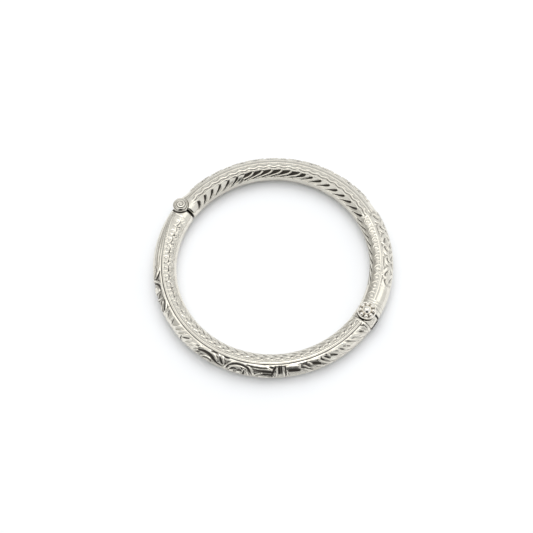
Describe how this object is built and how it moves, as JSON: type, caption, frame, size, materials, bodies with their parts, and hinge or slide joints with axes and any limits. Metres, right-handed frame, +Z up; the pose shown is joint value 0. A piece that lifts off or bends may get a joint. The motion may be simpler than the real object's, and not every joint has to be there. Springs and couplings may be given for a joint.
{
  "type": "hinged anklet",
  "caption": "Round hinged anklet of chased silver tube, with gadroons inside, cast leaf and rope relief outside and a screw clasp with a beaded rosette head.",
  "frame": {"origin": "centre of the ring, on the surface it lies on", "axes": "+Z up, square to the ring; +X to the right of the picture and +Y away from its camera"},
  "size_m": [0.0998, 0.0997, 0.011],
  "materials": {
    "chased_silver": "polished silver, cast and chased, with dark tarnish in its recesses",
    "pin_silver": "silver, engraved and darkened by tarnish",
    "rosette_silver": "polished silver balls on a plate dark with tarnish"
  },
  "bodies": {
    "front": {"front_half": "chased_silver"},
    "back": {"back_half": "chased_silver", "hinge_pin": "pin_silver"},
    "screw": {"clasp_screw": "rosette_silver"}
  },
  "joints": [
    {"name": "hinge", "type": "hinge", "parent": "front", "child": "back", "pos_m": [-0.03869, 0.02669, 0.0041], "axis": [0, 0, 1], "range_deg": [0, 65]},
    {"name": "clasp_screw_rise", "type": "slide", "parent": "front", "child": "screw", "axis": [0, 0, 1], "range_m": [0, 0.005]}
  ]
}
